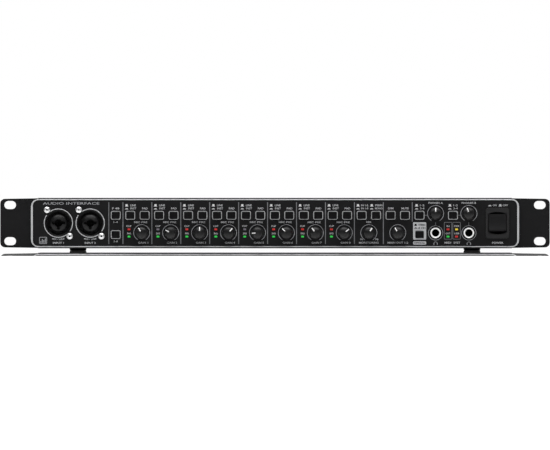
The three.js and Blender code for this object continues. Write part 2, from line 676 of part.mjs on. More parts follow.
// Main board on the tray, with its larger parts.
function mainBoard() {
  const base = FOOT_HEIGHT + SHEET;
  const low = base + 5;
  const [left, right, front, back] = [-196, 130, FACE + 36, REAR - 32];
  const board = block([left, front, low], [right, back, low + BOARD_THICK]);
  const top = low + BOARD_THICK - 0.3;
  const chips = [-150, -95, -40, 15, 70].map((x) => block([x, 5, top], [x + 16, 21, top + 2.5]));
  const capacitors = Array.from({ length: 7 }, (_, i) => block([-180 + i * 42, front + 8, top], [-171 + i * 42, front + 17, top + 12]));
  const posts = [left + 6, right - 12].flatMap((x) => [front + 4, back - 10].map((y) => block([x, y, base], [x + 6, y + 6, low + 0.3])));
  return join(board, ...chips, ...capacitors, ...posts);
}

// Switched power supply: board, transformer, heat sink and reservoir capacitors.
function powerSupply() {
  const base = FOOT_HEIGHT + SHEET;
  const low = base + 5;
  const [left, right, front, back] = [138, 200, FACE + 42, REAR - 34];
  const board = block([left, front, low], [right, back, low + BOARD_THICK]);
  const top = low + BOARD_THICK - 0.3;
  const transformer = block([left + 16, front + 44, top], [left + 42, front + 70, top + 22]);
  const heatSink = block([left + 4, front + 38, top], [left + 7, front + 84, top + 24]);
  const reservoirs = [14, 30].map((y) => block([right - 20, front + y, top], [right - 8, front + y + 12, top + 26]));
  const posts = [left + 3, right - 9].flatMap((x) => [front + 2, back - 8].map((y) => block([x, y, base], [x + 6, y + 6, low + 0.3])));
  return join(board, transformer, heatSink, ...reservoirs, ...posts);
}

// ---------- Assembly ----------
add("rack_panel", rackPanel(), BLACK_PAINT);
add("fascia", fascia(), BLACK_PAINT);
add("trim_frame", trimFrame(), SILVER);
add("top_cover", topCover(), CASE_PAINT);
add("chassis", chassis(), CASE_PAINT);
add("rear_panel", rearPanel(), CASE_PAINT);
const footGeometry = geometryOf(foot());
[["front", FACE + FOOT_INSET], ["rear", REAR - FOOT_INSET]].forEach(([end, y]) =>
  [["left", -FOOT_X], ["right", FOOT_X]].forEach(([side, x]) => add(`foot_${end}_${side}`, footGeometry, RUBBER, [x, y, 0])),
);
INPUT_X.forEach((x, i) => add(`input_jack_${i + 1}`, comboSocket(x, FACE, -1, 0, 32), BLACK_PLASTIC));
PHONES_X.forEach((x, i) => add(`phones_jack_${"ab"[i]}`, phonesJack(x), CHROME));
add("rear_input_jacks", rearInputBank(), BLACK_PLASTIC);
add("rear_output_jacks", rearOutputBank(), BLACK_PLASTIC);
add("digital_ports", digitalPorts(), BLACK_PLASTIC);
add("mains_inlet", mainsInlet(), BLACK_PLASTIC);
add("control_board", controlBoard(), BOARD_GREEN);
add("main_board", mainBoard(), BOARD_GREEN);
add("power_supply", powerSupply(), BOARD_GREEN);
add("power_switch_housing", powerSwitch(), BLACK_PLASTIC);

const rockerMesh = new THREE.Mesh(geometryOf(rocker()), BLACK_PLASTIC);
rockerMesh.name = "power_rocker";
rockerMesh.position.set(SWITCH_X, FACE + PIVOT_IN, MIDDLE);
rockerMesh.rotation.x = THREE.MathUtils.degToRad(-ROCKER_TILT);
object.add(rockerMesh);

const buttonGeometry = geometryOf(button());
BUTTONS.forEach(([name, x, up]) => add(name, buttonGeometry, BLACK_PLASTIC, [x, FACE, MIDDLE + up]));
const knobGeometry = geometryOf(knob());
KNOBS.forEach(([name, x, up, angle]) =>
  add(name, knobGeometry, KNOB_PLASTIC, [x, FACE, MIDDLE + up], THREE.MathUtils.degToRad(angle)),
);

export default object;
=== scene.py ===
import json
import math

import bpy
from mathutils import Matrix, Vector


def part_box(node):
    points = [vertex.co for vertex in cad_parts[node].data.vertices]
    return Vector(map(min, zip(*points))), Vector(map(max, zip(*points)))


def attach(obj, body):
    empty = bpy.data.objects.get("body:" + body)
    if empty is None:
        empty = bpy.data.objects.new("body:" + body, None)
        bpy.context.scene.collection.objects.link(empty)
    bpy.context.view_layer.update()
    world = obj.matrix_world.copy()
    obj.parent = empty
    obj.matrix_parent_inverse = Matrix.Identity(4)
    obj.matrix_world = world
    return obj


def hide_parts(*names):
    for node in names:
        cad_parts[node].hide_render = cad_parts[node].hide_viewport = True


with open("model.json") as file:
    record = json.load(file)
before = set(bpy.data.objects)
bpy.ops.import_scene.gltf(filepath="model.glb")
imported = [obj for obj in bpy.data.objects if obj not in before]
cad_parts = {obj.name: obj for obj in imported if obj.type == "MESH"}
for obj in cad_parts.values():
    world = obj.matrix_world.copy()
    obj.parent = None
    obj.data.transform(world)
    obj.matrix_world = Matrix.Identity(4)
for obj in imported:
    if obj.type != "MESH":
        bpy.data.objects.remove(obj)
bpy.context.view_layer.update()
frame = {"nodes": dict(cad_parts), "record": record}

MM = 0.001
scene = bpy.context.scene

# ---------- Places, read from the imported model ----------
FASCIA_LOW, FASCIA_HIGH = (Vector(corner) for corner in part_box("fascia"))
FACE = FASCIA_LOW.y  # the fascia's face
MIDDLE = (FASCIA_LOW.z + FASCIA_HIGH.z) / 2
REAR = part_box("rear_panel")[1][1]  # the rear panel's outer face
EARS_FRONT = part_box("rack_panel")[0][1]  # the rack ears' front face


def middle_of(node):
    """Centre of a node's box, in millimetres across and up from the middle of the front."""
    low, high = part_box(node)
    return (low[0] + high[0]) / 2 / MM, ((low[2] + high[2]) / 2 - MIDDLE) / MM


# Columns across the front, in millimetres from its middle.
STRIP = 25.4
STRIP_EDGES = [-133.5 + STRIP * i for i in range(11)]
PHANTOM_EDGE = -145.9
MIDI_LIGHTS = 151.9
SYSTEM_LIGHTS = 159.4
LIGHT_UP = -5.5
LIGHT_DOWN = -11.85
# Rows of lettering on the front, in millimetres up from its middle.
ROW_OUT = 15.6  # what a button does when it is out
ROW_IN = 12.9  # and when it is in
ROW_IN_MARK = 12.6
ROW_FOOT = -17.2
# Columns and rows of sockets on the rear.
REAR_INPUTS = [-188 + 27.5 * i for i in range(6)]
REAR_INPUT_HALF = 13
OUTPUT_COLUMNS = [-24 + 17 * i for i in range(5)]
OUTPUT_HALF = 8
OUTPUT_UP = 9.5
MIDI_PORTS = (68, 91)
COAXIAL = 109.5
OPTICAL = 125.5
STACK_UP = 8.5
USB = 144
INLET = 178
GAINS = [f"gain_knob_{i}" for i in range(1, 9)]
BUTTONS = [n for n in frame["nodes"] if "_button" in n]
# Which way each knob is set, clockwise from straight up, in degrees.
SETTINGS = dict(zip(GAINS, [-35, -63, 0, 40, -96, -44, -36, 54]))
SETTINGS.update(monitor_mix_knob=34, main_out_knob=-30, phones_a_knob=0, phones_b_knob=-17)


def knob_centre(name):
    joint = next(j for j in frame["record"]["behaviour"]["joints"] if j["child"] == name)
    x, _, z = joint["pos_m"]
    return x / MM, (z - MIDDLE) / MM


# ---------- Modelling helpers ----------
def deselect():
    if bpy.context.object and bpy.context.object.mode != "OBJECT":
        bpy.ops.object.mode_set(mode="OBJECT")
    bpy.ops.object.select_all(action="DESELECT")


def only(obj):
    deselect()
    obj.select_set(True)
    bpy.context.view_layer.objects.active = obj


def set_down(obj, name):
    """Name the active piece and leave its place in its mesh."""
    only(obj)
    bpy.ops.object.transform_apply(location=True, rotation=True, scale=True)
    obj.name = name
    obj.data.name = name
    return obj


def apply_all(obj):
    only(obj)
    for modifier in list(obj.modifiers):
        bpy.ops.object.modifier_apply(modifier=modifier.name)


def smooth(obj, angle=35):
    only(obj)
    bpy.ops.object.shade_smooth_by_angle(angle=math.radians(angle))


def recalculate(obj):
    only(obj)
    bpy.ops.object.mode_set(mode="EDIT")
    bpy.ops.mesh.select_all(action="SELECT")
    bpy.ops.mesh.remove_doubles(threshold=1e-6)
    bpy.ops.mesh.normals_make_consistent(inside=False)
    bpy.ops.object.mode_set(mode="OBJECT")


def bevelled(obj, width, segments=2, angle=40):
    made = obj.modifiers.new("edge", "BEVEL")
    made.width = width * MM
    made.segments = segments
    made.limit_method = "ANGLE"
    made.angle_limit = math.radians(angle)
    made.harden_normals = False
    apply_all(obj)
    return obj


def front_point(x, depth, up):
    return Vector((x * MM, FACE + depth * MM, MIDDLE + up * MM))


def block(name, x, up, front, back, width, tall, edge=0.3, segments=2):
    """A bevelled block on the front: x and up of its centre, depths behind the fascia's face."""
    deselect()
    bpy.ops.mesh.primitive_cube_add(
        size=1,
        location=front_point(x, (front + back) / 2, up),
        scale=(width * MM, (back - front) * MM, tall * MM),
    )
    obj = set_down(bpy.context.object, name)
    bevelled(obj, edge, segments)
    smooth(obj)
    return obj


def turned(name, profile, x, up, sides=48, angle=35):
    """A turned piece on a fore-and-aft axis, drawn out ring by ring along [radius, depth] points."""
    deselect()
    radius, depth = profile[0]
    centre = front_point(x, depth, up)
    bpy.ops.mesh.primitive_circle_add(
        vertices=sides, radius=radius * MM, location=centre, rotation=(math.pi / 2, 0, 0), fill_type="NGON"
    )
    obj = set_down(bpy.context.object, name)
    bpy.ops.object.mode_set(mode="EDIT")
    bpy.ops.mesh.select_mode(type="EDGE")
    bpy.ops.mesh.select_all(action="SELECT")
    for next_radius, next_depth in profile[1:]:
        bpy.ops.mesh.extrude_edges_move(TRANSFORM_OT_translate={"value": (0, (next_depth - depth) * MM, 0)})
        centre = front_point(x, next_depth, up)
        factor = next_radius / radius
        bpy.ops.transform.resize(value=(factor, 1, factor), center_override=centre)
        radius, depth = next_radius, next_depth
    bpy.ops.mesh.edge_face_add()
    bpy.ops.object.mode_set(mode="OBJECT")
    recalculate(obj)
    smooth(obj, angle)
    return obj


def moved_copy(obj, name, matrix):
    """A copy with its own mesh, with the move made in the mesh."""
    made = obj.copy()
    made.data = obj.data.copy()
    made.data.transform(matrix)
    made.name = name
    made.data.name = name
    scene.collection.objects.link(made)
    return made


def shifted(obj, name, x, up, depth=0):
    return moved_copy(obj, name, Matrix.Translation(Vector((x, depth, up)) * MM))


def to_rear(x, up, proud=0.0):
    """Move a pattern made at the middle of the front to a place on the rear panel, facing back."""
    return (
        Matrix.Translation(Vector((x * MM, REAR + proud * MM, up * MM)))
        @ Matrix.Rotation(math.pi, 4, "Z")
        @ Matrix.Translation(Vector((0, -FACE, 0)))
    )


def take_away(obj, *tools):
    """Cut each tool out of a piece, and remove the tool."""
    for tool in tools:
        made = obj.modifiers.new("cut", "BOOLEAN")
        made.operation = "DIFFERENCE"
        made.solver = "EXACT"
        made.object = tool
        apply_all(obj)
        bpy.data.objects.remove(tool)
    return obj


def bored(obj, radius, start, end, sides=40):
    """Cut a round bore through a piece, from one depth to another."""
    return take_away(obj, turned("bore", [(radius, start), (radius, end)], 0, 0, sides=sides))


def forget(*patterns):
    """Remove the patterns that pieces were copied from."""
    for pattern in patterns:
        bpy.data.objects.remove(pattern)


def joined(name, parts):
    deselect()
    for part in parts:
        part.select_set(True)
    bpy.context.view_layer.objects.active = parts[0]
    bpy.ops.object.join()
    parts[0].name = name
    parts[0].data.name = name
    return parts[0]


# ---------- Materials ----------
def linear(hex_colour):
    channels = [int(hex_colour[i : i + 2], 16) / 255 for i in (1, 3, 5)]
    return [c / 12.92 if c <= 0.04045 else ((c + 0.055) / 1.055) ** 2.4 for c in channels] + [1.0]


def add_node(tree, kind, values=(), links=(), **settings):
    """Add a node with its settings, its socket values and its incoming links."""
    made = tree.nodes.new(kind)
    for key, value in settings.items():
        setattr(made, key, value)
    for socket, value in values:
        made.inputs[socket].default_value = value
    for socket, source in links:
        tree.links.new(source, made.inputs[socket])
    return made


MOTTLE = 30  # millimetres between a surface's slightly duller and glossier patches


def finish(
    name,
    dark,
    light,
    roughness,
    rough_spread=0.06,
    metallic=0.0,
    specular=0.5,
    grain=0.4,
    relief=0.02,
    edge=0.0,
    glow=None,
):
    """A surface with a grain. Grain, relief and edge are real sizes in millimetres."""
    material = bpy.data.materials.new(name)
    material.use_nodes = True
    tree = material.node_tree
    shader = tree.nodes["Principled BSDF"]
    shader.inputs["Metallic"].default_value = metallic
    shader.inputs["Specular IOR Level"].default_value = specular
    place = add_node(tree, "ShaderNodeTexCoord")
    fine = add_node(
        tree,
        "ShaderNodeTexNoise",
        [("Scale", 1 / (grain * MM)), ("Detail", 2.0), ("Roughness", 0.6)],
        [("Vector", place.outputs["Object"])],
    )
    broad = add_node(
        tree,
        "ShaderNodeTexNoise",
        [("Scale", 1 / (MOTTLE * MM)), ("Detail", 3.0)],
        [("Vector", place.outputs["Object"])],
    )
    tone = add_node(tree, "ShaderNodeValToRGB", links=[("Fac", fine.outputs["Fac"])])
    tone.color_ramp.elements[0].position = 0.3
    tone.color_ramp.elements[0].color = linear(dark)
    tone.color_ramp.elements[1].position = 0.7
    tone.color_ramp.elements[1].color = linear(light)
    tree.links.new(tone.outputs["Color"], shader.inputs["Base Color"])
    spread = add_node(
        tree,
        "ShaderNodeMapRange",
        [("To Min", roughness - rough_spread), ("To Max", roughness + rough_spread)],
        [("Value", broad.outputs["Fac"])],
    )
    tree.links.new(spread.outputs["Result"], shader.inputs["Roughness"])
    bump = add_node(
        tree,
        "ShaderNodeBump",
        [("Strength", 1.0), ("Distance", relief * MM)],
        [("Height", fine.outputs["Fac"])],
    )
    if edge:
        worn = add_node(tree, "ShaderNodeBevel", [("Radius", edge * MM)], samples=4)
        tree.links.new(worn.outputs["Normal"], bump.inputs["Normal"])
    tree.links.new(bump.outputs["Normal"], shader.inputs["Normal"])
    if glow:
        shader.inputs["Emission Color"].default_value = linear(glow[0])
        shader.inputs["Emission Strength"].default_value = glow[1]
    return material


# Powder-coated steel: the eye sees a fine even grain under a satin sheen.
PANEL_PAINT = finish("panel_powder_coat", "#0f0f10", "#151516", 0.5, grain=0.5, relief=0.02, edge=0.25, specular=0.12)
# Black enamel on the folded case, a little greyer, coarser and glossier than the front.
CASE_PAINT = finish("case_powder_coat", "#131314", "#1d1d1e", 0.42, grain=0.7, relief=0.03, edge=0.6, specular=0.4)
# Satin silver enamel on the moulded frame: bright, soft and almost without grain.
TRIM_SILVER = finish(
    "trim_satin_silver", "#b9babb", "#c9cacb", 0.38, metallic=0.35, grain=0.35, relief=0.004, edge=0.3
)
# Moulded ABS with a fine spark-eroded texture: knobs have a soft sheen, and buttons are duller.
KNOB_ABS = finish("knob_moulded_abs", "#09090a", "#0e0e0f", 0.38, grain=0.35, relief=0.01, specular=0.3)
BUTTON_ABS = finish("button_moulded_abs", "#070708", "#0b0b0c", 0.45, grain=0.3, relief=0.008, specular=0.1)
# Moulded nylon of the power switch: the bezel is a shade greyer than the rocker in it.
SWITCH_ABS = finish(
    "switch_moulded_nylon", "#151516", "#1c1c1d", 0.45, grain=0.4, relief=0.012, edge=0.35, specular=0.3
)
ROCKER_ABS = finish(
    "rocker_moulded_nylon", "#0d0d0e", "#121213", 0.55, grain=0.4, relief=0.012, edge=0.35, specular=0.15
)
# Glass-filled nylon: near black, with a waxy highlight on its worn edges.
SOCKET_NYLON = finish(
    "socket_glass_filled_nylon", "#09090a", "#101011", 0.4, grain=0.5, relief=0.012, edge=0.15, specular=0.25
)
# Moulded rubber: dark grey, coarse and without a highlight.
FOOT_RUBBER = finish("foot_moulded_rubber", "#2c2c2c", "#363636", 0.8, grain=0.6, relief=0.03, specular=0.35)
# Bright nickel plate on brass: a clear reflection, slightly uneven.
NICKEL = finish(
    "nickel_plate", "#cfd0d2", "#dedfe0", 0.22, rough_spread=0.05, metallic=1.0, grain=0.25, relief=0.002
)
# Satin nickel on the headphone bushings: brighter and softer, with hardly a reflection in it.
SATIN_NICKEL = finish("nickel_satin", "#f2f2f2", "#fbfbfb", 0.5, metallic=0.1, grain=0.25, relief=0.002)
# Plated screws: nickel is pale and bright, and black zinc has a dark gleam.
SCREW_NICKEL = finish("screw_nickel_plate", "#d6d7d8", "#ececec", 0.3, metallic=0.85, grain=0.25, relief=0.003)
BLACK_SCREW = finish("screw_black_zinc", "#1d1d1f", "#2b2b2e", 0.35, metallic=0.8, grain=0.3, relief=0.004)
# Screen-printed epoxy ink: matt, in four greys, slightly uneven in density.
INK = finish("screen_print_grey", "#a9aaac", "#bcbdbf", 0.6, grain=0.3, relief=0.001, specular=0.3)
INK_DIM = finish("screen_print_dim_grey", "#66676a", "#76777a", 0.6, grain=0.3, relief=0.001, specular=0.3)
INK_TITLE = finish("screen_print_title_grey", "#8c8d90", "#9c9da0", 0.6, grain=0.3, relief=0.001, specular=0.3)
INK_WHITE = finish("screen_print_white", "#c6c6c7", "#d4d4d5", 0.55, grain=0.3, relief=0.001, specular=0.3)
# Plain mouldings: white pointers set in the knobs, and orange inserts in the coaxial sockets.
POINTER_WHITE = finish("pointer_white_abs", "#cfcfcf", "#dedede", 0.45, grain=0.3, relief=0.002)
INSERT_ORANGE = finish("insert_moulded_orange", "#b4561c", "#c76528", 0.45, grain=0.4, relief=0.004)
# Green solder mask over woven glass, seen through the air slots.
BOARD = finish("glass_epoxy_board", "#1d4a2b", "#265a36", 0.4, grain=1.2, relief=0.01)
# Black ink, and painted shade: dark sleeves and discs standing for the unlit insides of socket bores and contact
# holes. Nearly no light comes back.
INK_AND_HOLE_SHADE = finish("black_ink_and_painted_hole_shade", "#050505", "#090909", 0.7, grain=0.5, relief=0.005, specular=0.2)
# Tinted lenses that glow softly, and a milky one that is off.
LENS_RED = finish("lens_red", "#8c1414", "#a01a1a", 0.35, grain=0.5, relief=0.002, glow=("#ff2018", 0.28))
LENS_GREEN = finish("lens_green", "#167a2c", "#1e8c36", 0.35, grain=0.5, relief=0.002, glow=("#22ff50", 0.38))
LENS_AMBER = finish("lens_amber", "#a08a20", "#b89c28", 0.3, grain=0.5, relief=0.002, glow=("#ffe840", 0.55))
LENS_OFF = finish("lens_unlit", "#6c6470", "#7c7480", 0.3, grain=0.5, relief=0.002)


def dress(obj, material, body="unit", replaces=()):
    """Give a new piece its material and the body it rides on."""
    obj.data.materials.clear()
    obj.data.materials.append(material)
    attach(obj, body)
    if replaces:
        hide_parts(*replaces)
    return obj


def repaint(node, material):
    """Give a carried-over node a better material."""
    obj = bpy.data.objects[node]
    if not obj.material_slots:
        obj.data.materials.append(material)
    for place in obj.material_slots:
        place.material = material


for material, nodes in (
    (PANEL_PAINT, ("rack_panel", "fascia")),
    (TRIM_SILVER, ("trim_frame",)),
    (CASE_PAINT, ("top_cover", "chassis", "rear_panel")),
    (SOCKET_NYLON, ("digital_ports", "mains_inlet")),
    (BOARD, ("control_board", "main_board", "power_supply")),
    (SWITCH_ABS, ("power_switch_housing",)),
):
    for node in nodes:
        repaint(node, material)


# ---------- Knobs ----------
KNOB_PROFILE = [
    (0.6, -12.75),
    (2.2, -12.6),
    (3.6, -12.15),
    (4.5, -11.45),
    (4.95, -10.6),
    (5.12, -9.4),
    (5.4, -2.6),
    (5.45, -1.0),
    (5.3, -0.65),
    (3.1, -0.6),
    (3.0, 0.4),
    (3.0, 12.6),
]
knob_body = turned("knob_pattern", KNOB_PROFILE, 0, 0, sides=64, angle=30)
pointer = block("pointer_pattern", 0, 3.4, -13.2, -9.6, 0.9, 3.4, edge=0.12)
# The pointer stands just proud of the cap all along: it is what a slightly larger cap would leave of it.
cap_middle = front_point(0, -6, 0)
swollen = moved_copy(
    knob_body,
    "pointer_limit",
    Matrix.Translation(cap_middle) @ Matrix.Scale(1.012, 4) @ Matrix.Translation(-cap_middle),
)
keep = pointer.modifiers.new("keep", "BOOLEAN")
keep.operation = "INTERSECT"
keep.solver = "EXACT"
keep.object = swollen
apply_all(pointer)
forget(swollen)
smooth(pointer, 40)

for knob, angle in SETTINGS.items():
    x, up = knob_centre(knob)
    turn = (
        Matrix.Translation(front_point(x, 0, up))
        @ Matrix.Rotation(math.radians(angle), 4, "Y")
        @ Matrix.Translation(-front_point(0, 0, 0))
    )
    dress(moved_copy(knob_body, knob + "_cap", turn), KNOB_ABS, knob, [knob])
    dress(moved_copy(pointer, knob + "_pointer", turn), POINTER_WHITE, knob)
forget(knob_body, pointer)

# ---------- Push buttons ----------
button_cap = block("button_pattern", 0, 0, -2.6, 4.4, 7.0, 5.9, edge=0.75, segments=4)
for button in BUTTONS:
    x, up = middle_of(button)
    dress(shifted(button_cap, button + "_cap", x, up), BUTTON_ABS, button, [button])
forget(button_cap)

# ---------- Power rocker ----------
ROCKER_TILT = 7  # degrees from level to either stop; it rests with its upper end in
ROCKER_WIDTH = 15.6
# Depth in front of the pivot, and half the height there, from the face's edges back into the well.
ROCKER_SIDE = [(5.6, 7.2), (2.0, 7.8), (-1.0, 8.1)]
ROCKER_HOLLOW = 0.8  # the face dips by this much between its two edges
ROCKER_ROWS = 8


def rocker_key(name):
    """A hollow-faced rocker, drawn out level from its face to its back, then tipped about its pivot."""
    pin = next(Vector(j["pos_m"]) for j in frame["record"]["behaviour"]["joints"] if j["child"] == "power_rocker")
    front, half = ROCKER_SIDE[0]
    deselect()
    bpy.ops.mesh.primitive_grid_add(
        x_subdivisions=2,
        y_subdivisions=ROCKER_ROWS,
        size=1,
        location=pin - Vector((0, front * MM, 0)),
        rotation=(math.pi / 2, 0, 0),
    )
    bpy.context.object.scale = (ROCKER_WIDTH * MM, 2 * half * MM, 1)
    key = set_down(bpy.context.object, name)
    heights = sorted({round((v.co.z - pin.z) / MM, 3) for v in key.data.vertices})
    for height in heights:
        bpy.ops.object.mode_set(mode="EDIT")
        bpy.ops.mesh.select_mode(type="VERT")
        bpy.ops.mesh.select_all(action="DESELECT")
        bpy.ops.object.mode_set(mode="OBJECT")
        for v in key.data.vertices:
            v.select = abs((v.co.z - pin.z) / MM - height) < 0.01
        bpy.ops.object.mode_set(mode="EDIT")
        dip = ROCKER_HOLLOW * (1 - (height / half) ** 2)
        bpy.ops.transform.translate(value=(0, dip * MM, 0))
        bpy.ops.object.mode_set(mode="OBJECT")
    bpy.ops.object.mode_set(mode="EDIT")
    bpy.ops.mesh.select_all(action="SELECT")
    for next_front, next_half in ROCKER_SIDE[1:]:
        back = (front - next_front) * MM
        bpy.ops.mesh.extrude_region_move(TRANSFORM_OT_translate={"value": (0, back, 0)})
        bpy.ops.transform.resize(value=(1, 1, next_half / half), center_override=pin)
        front, half = next_front, next_half
    bpy.ops.object.mode_set(mode="OBJECT")
    recalculate(key)
    bevelled(key, 0.3, 3)
    smooth(key, 30)
    tip = Matrix.Rotation(math.radians(-ROCKER_TILT), 4, "X")
    key.data.transform(Matrix.Translation(pin) @ tip @ Matrix.Translation(-pin))
    return key


dress(rocker_key("power_rocker_key"), ROCKER_ABS, "power_rocker", ["power_rocker"])


# ---------- Printing on the fascia ----------
def flat_shape(name, outlines, depth=-0.03):
    """Closed outlines, in millimetres across and up from the middle, filled where an odd number overlap."""
    curve = bpy.data.curves.new(name, "CURVE")
    curve.dimensions = "2D"
    curve.fill_mode = "BOTH"
    for points in outlines:
        line = curve.splines.new("POLY")
        line.points.add(len(points) - 1)
        for spot, (x, up) in zip(line.points, points):
            spot.co = (x * MM, up * MM, 0, 1)
        line.use_cyclic_u = True
    obj = bpy.data.objects.new(name, curve)
    scene.collection.objects.link(obj)
    only(obj)
    bpy.ops.object.convert(target="MESH")
    obj = bpy.context.object
    obj.rotation_euler = (math.pi / 2, 0, 0)
    obj.location = (0, FACE + depth * MM, MIDDLE)
    return set_down(obj, name)


def bar(x0, x1, up0, up1):
    """An upright rectangle."""
    return [(x0, up0), (x1, up0), (x1, up1), (x0, up1)]


def rounded(x, up, width, tall, radius, steps=4):
    """A rectangle with round corners, about its centre."""
    points = []
    for corner, (sx, sz) in enumerate([(1, 1), (-1, 1), (-1, -1), (1, -1)]):
        for i in range(steps + 1):
            a = (corner + i / steps) * math.pi / 2
            points.append(
                (
                    x + sx * (width / 2 - radius) + radius * math.cos(a),
                    up + sz * (tall / 2 - radius) + radius * math.sin(a),
                )
            )
    return points


def ring_box(x, up, width, tall, radius, line):
    """The line round a rounded rectangle."""
    return [
        rounded(x, up, width, tall, radius),
        rounded(x, up, width - 2 * line, tall - 2 * line, max(radius - line, 0.05)),
    ]


def arc(x, up, radius, line, start, end, steps=40):
    """A band round a centre, from one clockwise angle to another."""
    angles = [math.radians(start + (end - start) * i / steps) for i in range(steps + 1)]
    outer = [(x + (radius + line / 2) * math.sin(a), up + (radius + line / 2) * math.cos(a)) for a in angles]
    inner = [(x + (radius - line / 2) * math.sin(a), up + (radius - line / 2) * math.cos(a)) for a in angles]
    return outer + inner[::-1]


def hoop(x, up, radius, line, steps=64):
    """A full circle's line."""
    turn = [2 * math.pi * i / steps for i in range(steps)]
    edges = (radius + line / 2, radius - line / 2)
    return [[(x + r * math.cos(a), up + r * math.sin(a)) for a in turn] for r in edges]


DIVIDER_LOW = -18.4
DIVIDER_HIGH = 18.3
DIVIDER_SHORT = 1.3  # the last one stops above the optical label
lines = []
fine_lines = []
dials = []
dividers = [bar(PHANTOM_EDGE - 0.3, PHANTOM_EDGE + 0.3, DIVIDER_LOW, DIVIDER_HIGH)]
dividers += [bar(x - 0.35, x + 0.35, DIVIDER_LOW, DIVIDER_HIGH) for x in STRIP_EDGES[:-1]]
dividers.append(bar(STRIP_EDGES[-1] - 0.35, STRIP_EDGES[-1] + 0.35, DIVIDER_SHORT, DIVIDER_HIGH))
for button in BUTTONS:
    if button != "optical_mode_button":
        x, up = middle_of(button)
        lines += ring_box(x, up, 8.55, 7.65, 1.5, 0.6)
for knob in SETTINGS:
    x, up = knob_centre(knob)
    dials.append(arc(x, up, 7.1, 0.42, -150, 150))
for jack in ("input_jack_1", "input_jack_2"):
    x, up = middle_of(jack)
    gap = 10.5  # degrees left clear on each side of a screw
    lines.append(arc(x, 0, 12.45, 0.62, -45 + gap, 135 - gap))
    lines.append(arc(x, 0, 12.45, 0.62, 135 + gap, 315 - gap))
for knob, jack, button in (
    ("phones_a_knob", "phones_jack_a", "phones_a_source_button"),
    ("phones_b_knob", "phones_jack_b", "phones_b_source_button"),
):
    x, up = knob_centre(knob)
    dividers.append(bar(x - 0.2, x + 0.2, -2.2, up - 7.5))
    dials += hoop(x, -8.6, 6.3, 0.35)
    edge = middle_of(button)[0] + 4.3
    dividers.append(bar(edge, x - 7.4, 6.7, 7.1))
for x in (MIDI_LIGHTS, SYSTEM_LIGHTS):
    fine_lines += ring_box(x, -6.7, 7.0, 15.2, 0.8, 0.4)
dress(flat_shape("print_dividers", dividers), INK_DIM)
dress(flat_shape("print_boxes", fine_lines), INK_DIM)
dress(flat_shape("print_dials", dials), INK_TITLE)
dress(flat_shape("print_outlines", lines), INK)

# Optical block: a filled label with the button's window in it, and a round-ended tag under it.
LABEL_X = 127.0
TAG_UP = -17.4
window_x, window_up = middle_of("optical_mode_button")
label = [rounded(LABEL_X, -6.9, 11.5, 15.3, 0.8), rounded(window_x, window_up, 7.5, 6.4, 0.7)]
dress(flat_shape("print_optical_label", label), INK)
tag = [rounded(LABEL_X, TAG_UP, 11.5, 3.0, 1.0)]
dress(flat_shape("print_optical_tag", tag), INK)


# ---------- Lettering ----------
def words(text, x, up, tall, wide=None, depth=-0.035, rear=False, weight=0.01, bow=0.0):
    """Plain capitals centred at a place, scaled to a height and, if given, a width.

    Weight thickens the strokes, and bow drops the line's ends to follow a socket's edge.
    """
    curve = bpy.data.curves.new("word", "FONT")
    curve.body = text
    curve.resolution_u = 2
    curve.offset = weight
    obj = bpy.data.objects.new("word", curve)
    scene.collection.objects.link(obj)
    only(obj)
    bpy.ops.object.convert(target="MESH")
    obj = bpy.context.object
    spots = [v.co for v in obj.data.vertices]
    low = Vector((min(s.x for s in spots), min(s.y for s in spots), 0))
    high = Vector((max(s.x for s in spots), max(s.y for s in spots), 0))
    size = high - low
    tall_factor = tall * MM / size.y
    wide_factor = wide * MM / size.x if wide else tall_factor
    centre = (low + high) / 2
    for spot in spots if bow else ():
        spot.y -= bow * ((spot.x - centre.x) / size.x) ** 2 * size.y
    place = Vector((x * MM, REAR - depth * MM, MIDDLE + up * MM)) if rear else front_point(x, depth, up)
    obj.data.transform(
        Matrix.Translation(place)
        @ Matrix.Rotation(math.pi if rear else 0, 4, "Z")
        @ Matrix.Rotation(math.pi / 2, 4, "X")
        @ Matrix.Diagonal((wide_factor, tall_factor, 1, 1))
        @ Matrix.Translation(-centre)
    )
    return obj


def step_mark(x, up, foot, shoulder, top):
    """A step standing on a line, drawn from its foot over its shoulders and top."""
    right = [(0.9, top), (0.9, shoulder), (1.4, shoulder), (1.4, foot)]
    left = [(-across, rise) for across, rise in reversed(right)]
    return [(x + across, up + rise) for across, rise in left + right]


def out_mark(x, up):
    """Button-out sign: a raised step on a line."""
    return step_mark(x, up, -1, -0.5, 1)


def in_mark(x, up):
    """Button-in sign: a low step on a line."""
    return step_mark(x, up, -0.6, -0.1, 0.5)


lettering = []
white_marks = []
grey_marks = []
for i, knob in enumerate(GAINS):
    left = STRIP_EDGES[i]
    x, up = knob_centre(knob)
    lettering += [
        words("LINE", left + 8.9, ROW_OUT, 1.7, 5.0),
        words("INST", left + 9.1, ROW_IN, 1.7, 5.2),
        words("PAD", left + 19.3, ROW_IN, 1.7, 4.9),
        words("MIC PRE", x - 0.9, 0.75, 1.6, 11.5),
        words("CLIP", left + 5.3, -2.6, 1.5, 4.4),
        words("SIG", left + 5.3, -9.1, 1.5, 3.4),
        words(f"GAIN {i + 1}", x + 1.2, ROW_FOOT, 1.7, 8.8),
    ]
    white_marks.append(out_mark(left + 3.2, ROW_OUT))
    grey_marks.append(in_mark(left + 3.2, ROW_IN_MARK))
x = middle_of("phantom_button_1_4")[0]
lettering += [
    words("P 48", x, ROW_IN, 1.7, 6.2),
    words("1-4", x, 0.9, 1.5, 3.8),
    words("5-8", x, -16.1, 1.5, 3.8),
]
left = STRIP_EDGES[8]
